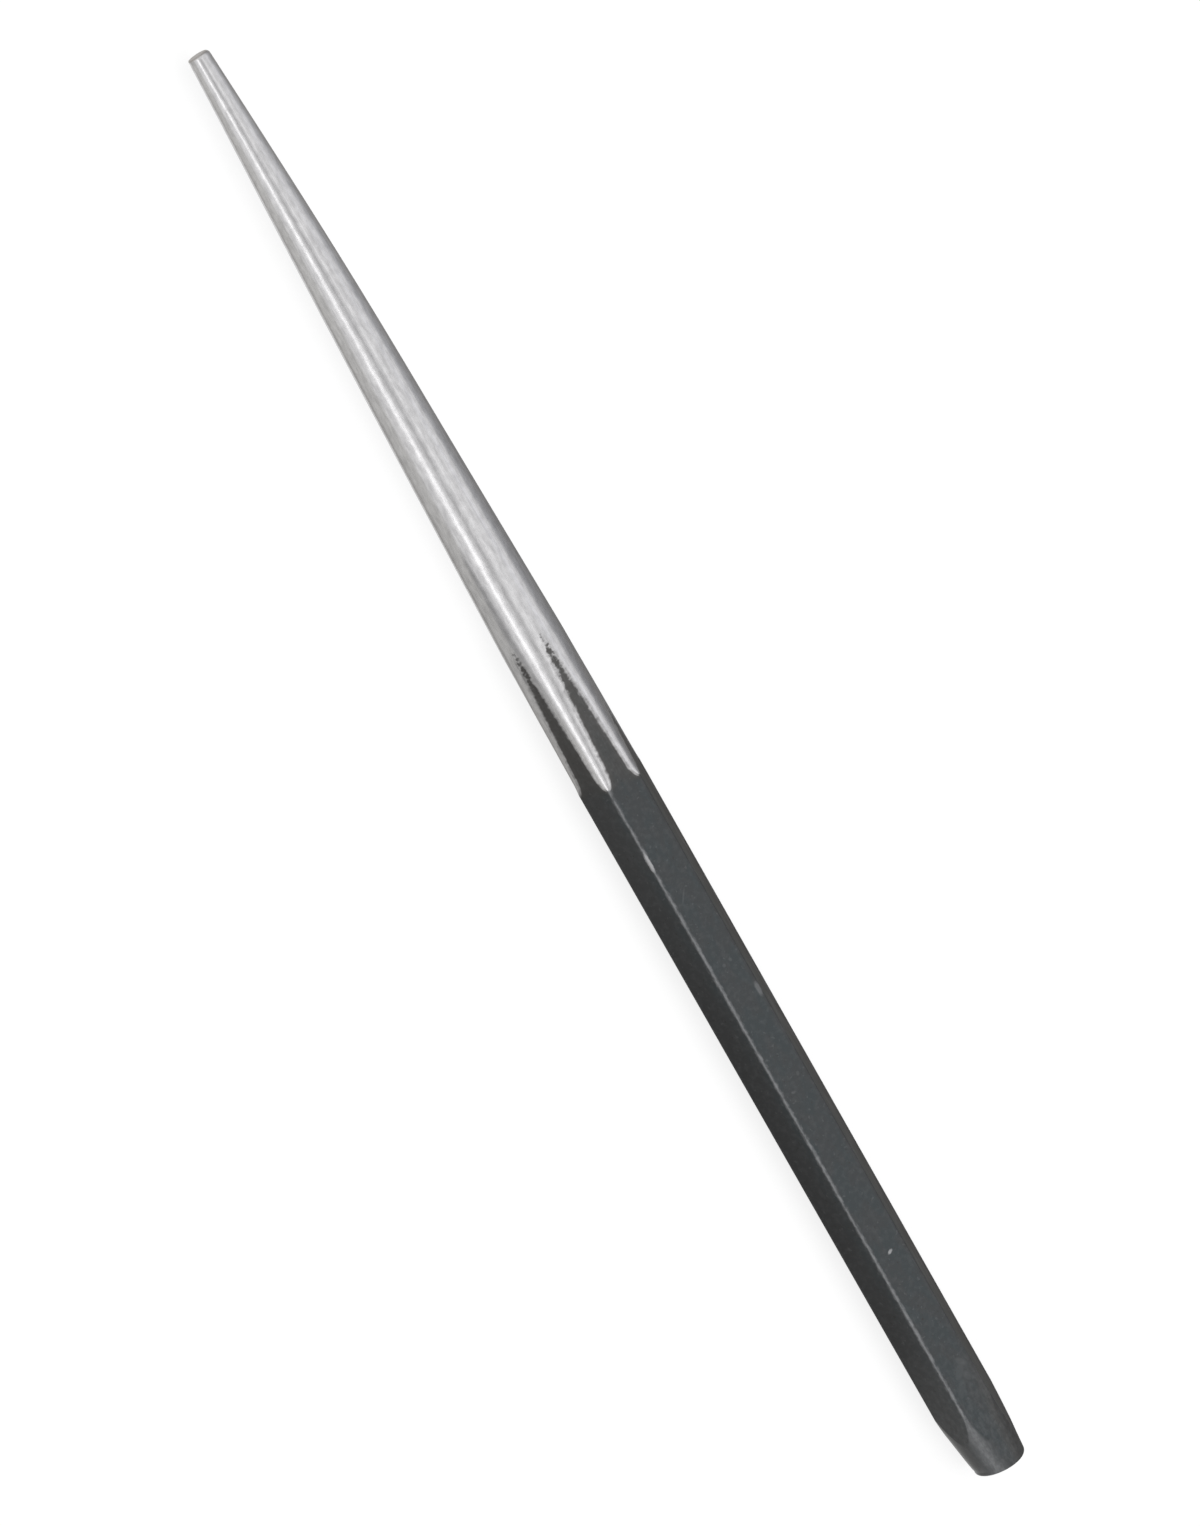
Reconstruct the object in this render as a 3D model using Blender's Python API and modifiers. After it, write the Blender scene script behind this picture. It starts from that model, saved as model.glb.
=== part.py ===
"""Line-up punch, made from one length of hexagon tool steel.

One end is ground to a long slim taper that runs out over the flats, so that bright tongues follow the
corners of the bar and dark darts of the flats reach in between them. The other end is the struck end,
turned to a short bevel with a rounded rim and a low crown.

Units are metres and +Z is up. The punch lies on one flat with its axis along X, the tip towards -X and
the struck end towards +X. The origin is on the surface it lies on, under the middle of its length.
"""

import math

import bmesh
import bpy

# The bar stock
ACROSS_FLATS = 0.0120  # hexagon, flat to flat
CORNER_RADIUS = 0.0004  # along the six corners of the bar
OVERALL_LENGTH = 0.3100  # tip to the crown of the struck face

# The ground taper. Positions are measured from the tip, and angles between the surface and the axis.
TIP_DIAMETER = 0.00424
TIP_EDGE_RADIUS = 0.00025
NOSE_ANGLE = math.radians(2.55)
NOSE_END = 0.0485  # where the steep nose meets the slimmer body of the taper
NOSE_BLEND = 0.0220  # half the length over which those two run into each other
BODY_ANGLE = math.radians(1.35)
BODY_END = 0.1200  # where the body meets the lead-out, close to where the flats begin
BODY_BLEND = 0.0060
LEAD_OUT_ANGLE = math.radians(0.64)
GRIND_LENGTH = 0.1520  # where the grinding wheel begins to leave the bar
WHEEL_EDGE_RADIUS = 0.0080  # rounds the blunt ends of the tongues

# The struck end
HEAD_FACE_DIAMETER = 0.0104  # where the bevel meets the plane of the rim
HEAD_BEVEL_ANGLE = math.radians(6.4)
HEAD_RIM_RADIUS = 0.0009
HEAD_CROWN = 0.0002  # height of the crown over the rim

# How finely the turned surfaces are cut up
TURNED_STEPS = 96  # around the axis, a multiple of 12 so that facets match on all flats and corners
BLEND_STEPS = 8
WHEEL_STEPS = 10
EDGE_STEPS = 4
CORNER_STEPS = 3
CUTTER_MARGIN = 0.0020  # how far a cutter reaches past the bar

SMALLEST_MERGE = 1e-6
FLAT_TO_CORNER = math.radians(30.0)
HALF_FLATS = ACROSS_FLATS / 2
SHARP_CORNER = HALF_FLATS / math.cos(FLAT_TO_CORNER)
CLEAR_RADIUS = SHARP_CORNER + CUTTER_MARGIN


def clear_scene():
    """Remove what the scene starts with."""
    for obj in list(bpy.data.objects):
        bpy.data.objects.remove(obj, do_unlink=True)


def new_collection(name, hide_render):
    """A collection under the scene."""
    collection = bpy.data.collections.new(name)
    collection.hide_render = hide_render
    bpy.context.scene.collection.children.link(collection)
    return collection


def metal(name, colour, roughness, metallic):
    """A plain metal material."""
    material = bpy.data.materials.new(name)
    material.use_nodes = True
    shader = material.node_tree.nodes["Principled BSDF"]
    shader.inputs["Base Color"].default_value = (*colour, 1.0)
    shader.inputs["Roughness"].default_value = roughness
    shader.inputs["Metallic"].default_value = metallic
    material.diffuse_color = (*colour, 1.0)
    return material


def ramp(distance, blend):
    """Zero before a knee and equal to the distance after it, with a parabola over the blend to either side."""
    if distance <= -blend:
        return 0.0
    if distance >= blend:
        return distance
    return (distance + blend) ** 2 / (4 * blend)


def taper_radius(along):
    """Radius of the ground taper at a distance from the tip: three cones that run into each other."""
    nose, body, lead_out = (math.tan(a) for a in (NOSE_ANGLE, BODY_ANGLE, LEAD_OUT_ANGLE))
    radius = TIP_DIAMETER / 2 + nose * along
    radius += (body - nose) * ramp(along - NOSE_END, NOSE_BLEND)
    radius += (lead_out - body) * ramp(along - BODY_END, BODY_BLEND)
    return radius


def spread(start, end, steps):
    """Evenly spaced values from start to end, both included."""
    return [start + (end - start) * i / steps for i in range(steps + 1)]


def arc(centre, radius, start, end, steps):
    """Points (radius, height) on an arc, its angles measured from the radial direction towards the head."""
    return [
        (centre[0] + radius * math.cos(a), centre[1] + radius * math.sin(a))
        for a in spread(start, end, steps)
    ]


def tip_edge():
    """The rounded edge of the tip, from the cone round to the flat end face."""
    # The centre lies one radius above the end face and one radius inside the cone, square to it.
    centre_height = TIP_EDGE_RADIUS
    reach = TIP_EDGE_RADIUS / math.cos(NOSE_ANGLE)
    centre_out = taper_radius(centre_height) - reach
    return arc((centre_out, centre_height), TIP_EDGE_RADIUS, -NOSE_ANGLE, -math.pi / 2, EDGE_STEPS)


def wheel_run_out():
    """The stretch left by the edge of the grinding wheel: an arc that leaves the lead-out cone tangentially."""
    start = taper_radius(GRIND_LENGTH)
    centre_out = start + WHEEL_EDGE_RADIUS * math.cos(LEAD_OUT_ANGLE)
    centre_height = GRIND_LENGTH - WHEEL_EDGE_RADIUS * math.sin(LEAD_OUT_ANGLE)
    rise = (centre_out - CLEAR_RADIUS) / WHEEL_EDGE_RADIUS
    leave = math.acos(min(1.0, max(0.0, rise)))
    points = [
        (centre_out - WHEEL_EDGE_RADIUS * math.cos(a), centre_height + WHEEL_EDGE_RADIUS * math.sin(a))
        for a in spread(LEAD_OUT_ANGLE, leave, WHEEL_STEPS)
    ]
    return points[::-1]


def taper_profile():
    """Half outline of what the grinding leaves, from the head down to the tip: (radius, distance from the tip)."""
    stations = [
        *spread(BODY_END + BODY_BLEND, BODY_END - BODY_BLEND, BLEND_STEPS // 2),
        *spread(NOSE_END + NOSE_BLEND, NOSE_END - NOSE_BLEND, BLEND_STEPS),
    ]
    run_out = wheel_run_out()
    far_end = OVERALL_LENGTH + 2 * CUTTER_MARGIN
    outside = max(CLEAR_RADIUS, run_out[0][0])
    return [
        (0.0, far_end),
        (outside, far_end),
        (outside, run_out[0][1] + CUTTER_MARGIN),
        *run_out,
        *((taper_radius(along), along) for along in stations),
        *tip_edge(),
        (0.0, 0.0),
    ]


def head_profile():
    """Half outline of the turned struck end, from its crown down past the tip: (radius, distance from the tip)."""
    rim_plane = OVERALL_LENGTH - HEAD_CROWN
    lean = math.tan(HEAD_BEVEL_ANGLE)
    # The rim's arc touches the rim plane and the bevel.
    rim_height = rim_plane - HEAD_RIM_RADIUS
    bevel_there = HEAD_FACE_DIAMETER / 2 + lean * HEAD_RIM_RADIUS
    rim_out = bevel_there - HEAD_RIM_RADIUS / math.cos(HEAD_BEVEL_ANGLE)
    rim = arc((rim_out, rim_height), HEAD_RIM_RADIUS, math.pi / 2, HEAD_BEVEL_ANGLE, EDGE_STEPS)
    crown = [
        (rim_out * share, OVERALL_LENGTH - HEAD_CROWN * share**2) for share in spread(0, 1, EDGE_STEPS)
    ]
    bevel_start = rim_plane - (CLEAR_RADIUS - HEAD_FACE_DIAMETER / 2) / lean
    return [
        *crown[:-1],
        *rim,
        (CLEAR_RADIUS, bevel_start),
        (CLEAR_RADIUS, -2 * CUTTER_MARGIN),
        (0.0, -2 * CUTTER_MARGIN),
    ]


def lay_along_x(obj):
    """Turn an object made along Z from its tip so that it lies along X, with the bar's lowest flat on the ground."""
    obj.rotation_euler = (0.0, math.radians(90.0), 0.0)
    obj.location = (-OVERALL_LENGTH / 2, 0.0, HALF_FLATS)


def turned_cutter(name, profile, material, collection):
    """A closed solid of revolution about Z from its half outline."""
    mesh = bpy.data.meshes.new(name)
    points = [(radius, 0.0, height) for radius, height in profile]
    mesh.from_pydata(points, [(i, i + 1) for i in range(len(points) - 1)], [])
    mesh.materials.append(material)
    obj = bpy.data.objects.new(name, mesh)
    collection.objects.link(obj)
    screw = obj.modifiers.new("Turn", "SCREW")
    screw.axis = "Z"
    screw.steps = TURNED_STEPS
    screw.render_steps = TURNED_STEPS
    screw.use_merge_vertices = True
    screw.merge_threshold = SMALLEST_MERGE
    screw.use_smooth_shade = True
    obj.hide_render = True
    obj.display_type = "WIRE"
    lay_along_x(obj)
    return obj


def hexagon_bar(name, material, collection):
    """The bar as it comes from stock: six flats with rounded corners, a little longer than the finished punch."""
    depth = OVERALL_LENGTH + 2 * CUTTER_MARGIN
    shape = bmesh.new()
    bmesh.ops.create_cone(
        shape, cap_ends=True, segments=6, radius1=SHARP_CORNER, radius2=SHARP_CORNER, depth=depth
    )
    bmesh.ops.translate(shape, vec=(0.0, 0.0, OVERALL_LENGTH / 2), verts=shape.verts)
    corners = [e for e in shape.edges if abs(e.verts[0].co.z - e.verts[1].co.z) > depth / 2]
    bmesh.ops.bevel(
        shape,
        geom=corners,
        offset=CORNER_RADIUS * math.tan(FLAT_TO_CORNER),
        offset_type="OFFSET",
        segments=CORNER_STEPS,
        profile=0.5,
        affect="EDGES",
    )
    mesh = bpy.data.meshes.new(name)
    shape.to_mesh(mesh)
    shape.free()
    mesh.materials.append(material)
    obj = bpy.data.objects.new(name, mesh)
    collection.objects.link(obj)
    lay_along_x(obj)
    return obj


def keep_inside(obj, cutter):
    """Cut away what lies outside the cutter. The new surface takes the cutter's material."""
    cut = obj.modifiers.new(cutter.name, "BOOLEAN")
    cut.operation = "INTERSECT"
    cut.solver = "EXACT"
    cut.material_mode = "TRANSFER"
    cut.object = cutter


def main():
    clear_scene()
    parts = new_collection("line_up_punch", hide_render=False)
    cutters = new_collection("cutters", hide_render=True)
    black_oxide = metal("black_oxide", (0.050, 0.054, 0.057), 0.50, 0.35)
    ground_steel = metal("ground_steel", (0.62, 0.62, 0.63), 0.28, 1.0)

    punch = hexagon_bar("punch", black_oxide, parts)
    keep_inside(punch, turned_cutter("ground_taper", taper_profile(), ground_steel, cutters))
    keep_inside(punch, turned_cutter("turned_head", head_profile(), black_oxide, cutters))


main()
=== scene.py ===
"""The finished look of a line-up punch: a blackened hexagon bar with a long taper ground bright.

The punch is one closed surface, worked out as a grid of rows along the bar and columns around it, and it
stands for the solid of the same tool. It lies along X on one flat, the tip towards -X. Lengths are in metres.
"""

import math

import bpy
import numpy as np
from bpy.props import FloatProperty, FloatVectorProperty, PointerProperty
from mathutils import Matrix, Vector


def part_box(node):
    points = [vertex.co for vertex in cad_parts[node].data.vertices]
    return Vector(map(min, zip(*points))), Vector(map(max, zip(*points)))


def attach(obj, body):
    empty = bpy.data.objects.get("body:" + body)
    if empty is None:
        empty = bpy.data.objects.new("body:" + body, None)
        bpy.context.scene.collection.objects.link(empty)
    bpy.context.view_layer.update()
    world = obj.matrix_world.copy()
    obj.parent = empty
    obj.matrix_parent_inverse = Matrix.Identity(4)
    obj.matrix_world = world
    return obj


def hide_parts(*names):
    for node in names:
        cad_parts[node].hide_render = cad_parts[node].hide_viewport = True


bl_info = {
    "name": "Line-up Punch",
    "version": (1, 0, 0),
    "blender": (4, 5, 0),
    "location": "3D View > Sidebar > Punch",
    "description": "Builds a ground and blackened line-up punch and the studio it is seen in",
    "category": "Add Mesh",
}

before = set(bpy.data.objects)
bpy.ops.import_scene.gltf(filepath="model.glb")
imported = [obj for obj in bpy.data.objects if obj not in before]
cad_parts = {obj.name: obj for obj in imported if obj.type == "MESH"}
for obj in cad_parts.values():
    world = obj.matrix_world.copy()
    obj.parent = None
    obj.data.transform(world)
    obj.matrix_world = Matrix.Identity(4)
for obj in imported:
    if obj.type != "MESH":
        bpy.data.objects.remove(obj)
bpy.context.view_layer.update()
BAR_LOW, BAR_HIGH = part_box("punch")

FLATS = 6
FLAT_TO_CORNER = math.radians(30.0)
MILLIMETRES = 1000.0

# How the grid is cut up: columns from the middle of a flat to a corner, half of them on each side of the
# crease, and rings over the tip's face, over either rounded edge and over the crown of the struck face.
COLUMNS_TO_CORNER = 12
FACE_RINGS = 5
EDGE_RINGS = 9
CROWN_RINGS = 7
CREASE_GATHER = 0.0001  # over which the columns gather to meet a crease
LEAST_CREASE = math.radians(1.5)  # nearest that a crease comes to the middle of a flat
CREASE_MATCH = 2e-6  # how close the hexagon and the circle are on a crease
ROUND_MARGIN = 0.00015  # how far inside the flats a row has to lie to be taken as round

# Rows along the bar: from each distance behind the tip, one row every so often.
ROW_SPACING = (
    (0.0014, 0.0010),
    (0.1170, 0.0005),
    (0.1500, 0.00012),
    (0.1570, 0.0015),
    (0.2930, 0.00035),
)

# Where the unevenness of the hand grinding rises and falls: distances behind the tip, from nothing to full.
CROWN_RISE = (0.120, 0.140)
CROWN_FALL = (0.170, 0.160)
DROP_RISE = (0.060, 0.110)
DROP_FALL = (0.200, 0.180)
BOW_MIDDLE = 0.050
BOW_SPREAD = 0.030
TIP_DRIFT_FADE = 0.015
FACE_SHEAR = (0.004, 0.001)  # from either end

# How far each corner of the bar is rubbed bright, or with a minus darkened, from the one at 30 degrees round
# from +Z towards +Y, and the radius over which that begins on the struck face. The brightest corner, at -30
# degrees, is partly a painted highlight as well as wear, and the darkening of the corner at +30 degrees is
# painted shade.
CORNER_WEAR_HIGHLIGHT_AND_SHADE = (-0.8, 0.45, 0.6, 0.4, 0.12, 0.80)
CORNER_WEAR_HIGHLIGHT_AND_SHADE_RISE = (0.0038, 0.0048)

# How much deeper than the turned circle says the grinding took the black off each flat, from the top one
# towards +Y, in millimetres.
FLAT_BITE = (-0.006, 0.29, 0.03, 0.0, 0.05, 0.033)

# Noise patterns of the finish: stretch along the bar and across it per millimetre, offset, detail, roughness.
PATTERNS = {
    "long_streaks": (0.012, 2.2, (0.0, 0.0, 0.0), 3.0, 0.5),
    "rings": (1.1, 0.30, (7.0, 0.0, 0.0), 3.0, 0.5),
    "specks": (0.45, 1.3, (0.0, 0.0, 0.0), 4.0, 0.62),
    "clouds": (0.16, 0.34, (0.0, 0.0, 0.0), 3.0, 0.5),
    "grain": (0.9, 0.9, (0.0, 0.0, 0.0), 4.0, 0.62),
    "rub": (0.7, 1.4, (3.0, 8.0, 1.0), 4.0, 0.6),
    "streaks": (0.16, 1.8, (0.0, 4.0, 9.0), 3.0, 0.5),
    "pits": (1.5, 1.5, (13.5, 3.0, 9.0), 1.0, 0.5),
    "flecks": (1.3, 1.3, (40.3, 6.5, 2.6), 1.0, 0.5),
    "blots": (1.5, 1.1, (9.0, 3.0, 2.0), 2.0, 0.5),
    "brushed": (0.25, 3.5, (2.0, 5.0, 0.0), 2.0, 0.5),
}

# Where the finish changes, from nothing to full, in millimetres: behind the tip, from the struck end, round
# the bar as on a plain cylinder, up from the floor, from the middle of a flat, and below the bar's own
# surface.
CUT_TIP = (0.40, 0.05)
STRUCK_END = (-26.0, 3.0)
BEVEL = (-20.0, -18.0)
NEAR_SIDE = (-2.6, -3.4)
FAR_SIDE = (3.1, 5.3)
TINTED_SIDE = (2.8, 5.6)
UPPER_SIDE = (8.0, 9.5)
MIDDLE_OF_FLAT = (1.0, 0.3)
STRUCK_FACE = (1.9, 3.2)
BARE_DEPTH = (-0.125, 0.030)

# Between which values of its noise, or of a sum with noise in it, each feature shows from nothing to full.
SHOWN = {
    "dull_streaks": (0.44, 0.96),
    "tint": (0.42, 0.60),
    "pits": (0.33, 0.24),
    "edge": (0.02, -0.70),
    "flecks": (0.66, 0.76),
    "mottle": (0.38, 0.66),
    "bevel": (0.36, 0.64),
    "lines": (0.46, 0.68),
    "mark": (2.05, 1.30),
    "grazed": (0.80, 1.50),
}

# How far each kind of wear rubs the black oxide bright; the bevel's share is partly a painted highlight.
WEAR_AND_HIGHLIGHT_SHARE = {"flecks": 0.10, "mottle": 0.09, "bevel": 0.50, "face": 0.16, "lines": 0.07}

# Marks on the upper side: how far each is rubbed bright, its place, half sizes and turn, in mm and degrees.
MARKS = (
    (0.64, 104.6, 0.0, 0.60, 0.32, 112.0),
    (0.85, 14.8, -3.40, 2.3, 0.30, 0.0),
    (0.34, 46.9, 3.0, 1.6, 0.50, 0.0),
    (0.09, 23.9, -0.9, 1.6, 0.18, -36.0),
    (0.12, 39.1, 1.0, 0.40, 0.30, 30.0),
    (0.12, 39.4, -0.6, 0.35, 0.35, 0.0),
    (0.13, 67.6, -1.1, 0.45, 0.25, 60.0),
    (0.10, 65.0, 1.5, 0.40, 0.30, -20.0),
    (0.10, 131.0, 1.5, 1.5, 0.7, 35.0),
    (0.09, 132.4, 0.3, 1.9, 0.9, -40.0),
    (0.08, 133.8, 1.2, 1.2, 0.8, 20.0),
    (0.07, 135.4, -0.9, 2.0, 0.8, -35.0),
    (0.20, 149.5, -3.2, 0.45, 0.35, 0.0),
)
MARK_HEIGHT = 1000.0  # so that the height of a point hardly counts
THROUGH_MARK = 0.5  # a mark rubbed further than this goes through to the steel

# The feet of the cards that stand beside the punch, and the places between which their light is graded.
CARD_FOOT = 0.0072
CARD_LIFT = 0.0002
CARD_TAPER = (-0.175, 0.010)

WHITE = (1.0, 1.0, 1.0, 1.0)
# Black of the pits, and of the painted shade along the corner at +30 degrees.
PIT_AND_SHADE_BLACK = (0.003, 0.003, 0.003, 1.0)

# What the properties of one kind have in common.
LENGTH = {"precision": 5, "unit": "LENGTH"}
ANGLE = {"unit": "ROTATION", "subtype": "ANGLE"}
SHARE = {"subtype": "FACTOR", "min": 0.0, "max": 1.0}
COLOUR = {"subtype": "COLOR", "min": 0.0, "max": 1.0}


class PunchShape(bpy.types.PropertyGroup):
    """Sizes of the bar, the ground taper and the struck end"""

    across_flats: FloatProperty(
        name="Across flats", default=BAR_HIGH.z - BAR_LOW.z, min=0.004, **LENGTH,
        description="Width of the hexagon bar from flat to flat",
    )
    corner_radius: FloatProperty(
        name="Corner radius", default=0.0004, min=0.0001, **LENGTH,
        description="Rounding along the six corners of the bar",
    )
    overall_length: FloatProperty(
        name="Length", default=BAR_HIGH.x - BAR_LOW.x, min=0.05, **LENGTH,
        description="From the tip to the crown of the struck face",
    )
    tip_diameter: FloatProperty(
        name="Tip diameter", default=0.00424, **LENGTH,
        description="Diameter of the taper where its cone meets the tip's plane",
    )
    tip_edge_radius: FloatProperty(
        name="Tip edge", default=0.00090, **LENGTH,
        description="Rounding of the edge of the tip on its worn side",
    )
    tip_sharp_edge_radius: FloatProperty(
        name="Sharp side of the tip", default=0.00030, **LENGTH,
        description="Rounding of the edge of the tip on the side where it is least worn",
    )
    nose_angle: FloatProperty(
        name="Nose angle", default=math.radians(2.55), **ANGLE,
        description="Angle between the nose cone and the axis",
    )
    nose_end: FloatProperty(
        name="Nose end", default=0.0485, **LENGTH,
        description="Distance from the tip at which the nose meets the slimmer body of the taper",
    )
    nose_blend: FloatProperty(
        name="Nose blend", default=0.0220, **LENGTH,
        description="Half the length over which the nose runs into the body",
    )
    body_angle: FloatProperty(
        name="Body angle", default=math.radians(1.44), **ANGLE,
        description="Angle between the body of the taper and the axis",
    )
    body_end: FloatProperty(
        name="Body end", default=0.1240, **LENGTH,
        description="Distance from the tip at which the body meets the lead-out",
    )
    body_blend: FloatProperty(
        name="Body blend", default=0.0020, **LENGTH,
        description="Half the length over which the body runs into the lead-out",
    )
    lead_out_angle: FloatProperty(
        name="Lead-out angle", default=math.radians(0.31), **ANGLE,
        description="Angle between the last stretch of the taper and the axis",
    )
    flare_radius: FloatProperty(
        name="Flare radius", default=2.45, unit="LENGTH",
        description="Radius of the long arc in which the lead-out flares",
    )
    grind_length: FloatProperty(
        name="Grind length", default=0.15157, **LENGTH,
        description="Distance from the tip at which the grinding wheel begins to leave the bar",
    )
    run_out_lean: FloatProperty(
        name="Run-out lean", default=0.00080, **LENGTH,
        description="How much further along the bar the grinding ends on its +Y side than in the middle",
    )
    wheel_edge_length: FloatProperty(
        name="Wheel edge length", default=0.0030, **LENGTH,
        description="Length of the wheel's rounded edge, which ends the tongues",
    )
    wheel_edge_height: FloatProperty(
        name="Wheel edge height", default=0.0005, **LENGTH,
        description="How far the wheel's rounded edge rises over that length",
    )
    tongue_crown: FloatProperty(
        name="Tongue crown", default=0.00020, **LENGTH,
        description="How far the middle of a tongue stands over the turned circle",
    )
    head_face_diameter: FloatProperty(
        name="Struck face", default=0.0104, **LENGTH,
        description="Diameter at which the bevel of the struck end meets the plane of its rim",
    )
    head_bevel_angle: FloatProperty(
        name="Struck end bevel", default=math.radians(6.4), **ANGLE,
        description="Angle between the bevel of the struck end and the axis",
    )
    head_rim_radius: FloatProperty(
        name="Struck end rim", default=0.0011, **LENGTH,
        description="Rounding between the bevel and the struck face",
    )
    head_sharp_rim_radius: FloatProperty(
        name="Sharp side of the rim", default=0.0003, **LENGTH,
        description="Rounding of the rim on the side where it is least worn",
    )
    head_crown: FloatProperty(
        name="Crown", default=0.0002, **LENGTH,
        description="Height of the struck face over its rim",
    )
    tip_drift: FloatProperty(
        name="Tip drift", default=0.00026, **LENGTH,
        description="How far the hand-ground tip lies off the bar's axis",
    )
    taper_bow: FloatProperty(
        name="Taper bow", default=0.00014, **LENGTH,
        description="How far the taper bows the other way behind its tip",
    )
    taper_drop: FloatProperty(
        name="Taper drop", default=0.00017, **LENGTH,
        description="How far the taper lies off the bar's axis where it runs out, square to the drift",
    )
    tip_face_tilt: FloatProperty(
        name="Tip face tilt", default=math.radians(5.0), **ANGLE,
        description="How far the tip's end face is cut out of square",
    )
    struck_face_tilt: FloatProperty(
        name="Struck face tilt", default=math.radians(4.5), **ANGLE,
        description="How far the struck face stands out of square",
    )
    drift_direction: FloatProperty(
        name="Drift direction", default=math.radians(71.9), **ANGLE,
        description="Direction of the bow, the lean and the faces' longer sides, from +Z towards +Y",
    )
    head_lean: FloatProperty(
        name="Struck end lean", default=math.radians(1.7), **ANGLE,
        description="Angle between the axis of the bevel and the bar's axis",
    )
    head_lean_start: FloatProperty(
        name="Lean start", default=0.2955, **LENGTH,
        description="Distance from the tip at which the lean of the struck end begins",
    )


class PunchFinish(bpy.types.PropertyGroup):
    """Colours and gloss of the ground steel and of the black oxide"""

    steel_colour: FloatVectorProperty(
        name="Ground steel", default=(0.652, 0.646, 0.653), **COLOUR,
        description="Colour of the ground taper",
    )
    steel_streak_colour: FloatVectorProperty(
        name="Grinding streaks", default=(0.468, 0.463, 0.469), **COLOUR,
        description="Colour of the duller streaks along the taper",
    )
    cut_face_colour: FloatVectorProperty(
        name="Cut tip face", default=(0.400, 0.382, 0.366), **COLOUR,
        description="Colour of the dull end face of the tip",
    )
    steel_roughness: FloatProperty(
        name="Steel roughness", default=0.27, **SHARE,
        description="Roughness of the ground taper",
    )
    oxide_colour: FloatVectorProperty(
        name="Black oxide", default=(0.0128, 0.0139, 0.0154), **COLOUR,
        description="Colour of the blackened bar",
    )
    oxide_tint: FloatVectorProperty(
        name="Oxide tint", default=(0.0062, 0.0138, 0.0172), **COLOUR,
        description="Colour of the blue-green patches in the black oxide",
    )
    oxide_brown: FloatVectorProperty(
        name="Oxide brown", default=(0.0190, 0.0150, 0.0110), **COLOUR,
        description="Colour of the browner oxide on the far side, at the struck end and next to the grinding",
    )
    # Also the colour of the painted highlight along the corner at -30 degrees and over the bevel.
    oxide_wear_and_highlight_colour: FloatVectorProperty(
        name="Worn oxide", default=(0.250, 0.256, 0.264), **COLOUR,
        description="Colour of the black oxide rubbed thin, on corners, specks and the struck end",
    )
    oxide_roughness: FloatProperty(
        name="Oxide roughness", default=0.34, **SHARE,
        description="Roughness of the black oxide",
    )


class PunchStudio(bpy.types.PropertyGroup):
    """Floor, light and camera"""

    floor_colour: FloatVectorProperty(
        name="Floor", default=(0.28, 0.28, 0.28), **COLOUR,
        description="Colour of the floor",
    )
    room_light: FloatProperty(
        name="Room light", default=0.35, min=0.0,
        description="Strength of the even light from all around",
    )
    top_light: FloatProperty(
        name="Top light", default=1.30, min=0.0,
        description="Brightness of the large soft box over the punch",
    )
    strip_light: FloatProperty(
        name="Strip light", default=1.42, min=0.0,
        description="Brightness of the strip that draws the highlight along the taper",
    )
    tube_light: FloatProperty(
        name="Tube light", default=0.26, min=0.0,
        description="Brightness of the two faint tubes that mirror above the punch and behind it",
    )
    near_card_taper: FloatVectorProperty(
        name="Near card, taper", default=(0.710, 0.706, 0.687), **COLOUR,
        description="Grey of the low card on the camera's side along the taper",
    )
    near_card_bar: FloatVectorProperty(
        name="Near card, bar", default=(0.391, 0.385, 0.372), **COLOUR,
        description="Grey of the low card on the camera's side along the bar",
    )
    far_card_taper: FloatVectorProperty(
        name="Far card, taper", default=(0.288, 0.281, 0.271), **COLOUR,
        description="Grey of the foot of the card behind the taper",
    )
    far_card_bar: FloatVectorProperty(
        name="Far card, bar", default=(0.180, 0.177, 0.165), **COLOUR,
        description="Grey of the foot of the card behind the bar",
    )
    far_card_top: FloatVectorProperty(
        name="Far card top", default=(0.625, 0.635, 0.658), **COLOUR,
        description="Grey of the top of the card behind the punch",
    )
    run_out_card: FloatProperty(
        name="Run-out card", default=0.42, **SHARE,
        description="Grey level of the small rising card beside the run-out of the taper",
    )
    gap_card: FloatProperty(
        name="Camera gap", default=0.55, **SHARE,
        description="Grey level of the gap between the lights in which the camera stands",
    )
    camera_distance: FloatProperty(
        name="Camera distance", default=1.20403, unit="LENGTH",
        description="Distance of the camera from the middle of the punch",
    )
    camera_lean: FloatProperty(
        name="Camera lean", default=math.radians(15.564), **ANGLE,
        description="How far the camera leans from upright towards the tip",
    )
    camera_swing: FloatProperty(
        name="Camera swing", default=math.radians(18.099), **ANGLE,
        description="How far the camera swings round the punch towards -Y",
    )
    camera_roll: FloatProperty(
        name="Camera roll", default=math.radians(60.420), **ANGLE,
        description="Angle in the picture between the punch and the horizontal",
    )
    camera_shift: FloatVectorProperty(
        name="Camera shift", default=(0.002338, -0.003714), size=2, precision=6, unit="LENGTH",
        description="Place of the middle of the punch right of and above the middle of the picture",
    )
    focal_length: FloatProperty(
        name="Focal length", default=154.15, min=1.0, unit="CAMERA",
        description="Focal length of the lens in millimetres",
    )


def rise(values, start, end):
    """An S-shaped step from zero at the start to one at the end, either way: 3 t squared less 2 t cubed."""
    share = np.clip((values - start) / (end - start), 0.0, 1.0)
    return share * share * (3.0 - 2.0 * share)


def ramp(distance, blend):
    """Zero before a knee and the distance after it, with a parabola over the blend to either side."""
    held = np.clip(distance, -blend, blend)
    return (held + blend) ** 2 / (4.0 * blend) + np.maximum(distance - blend, 0.0)


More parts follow.
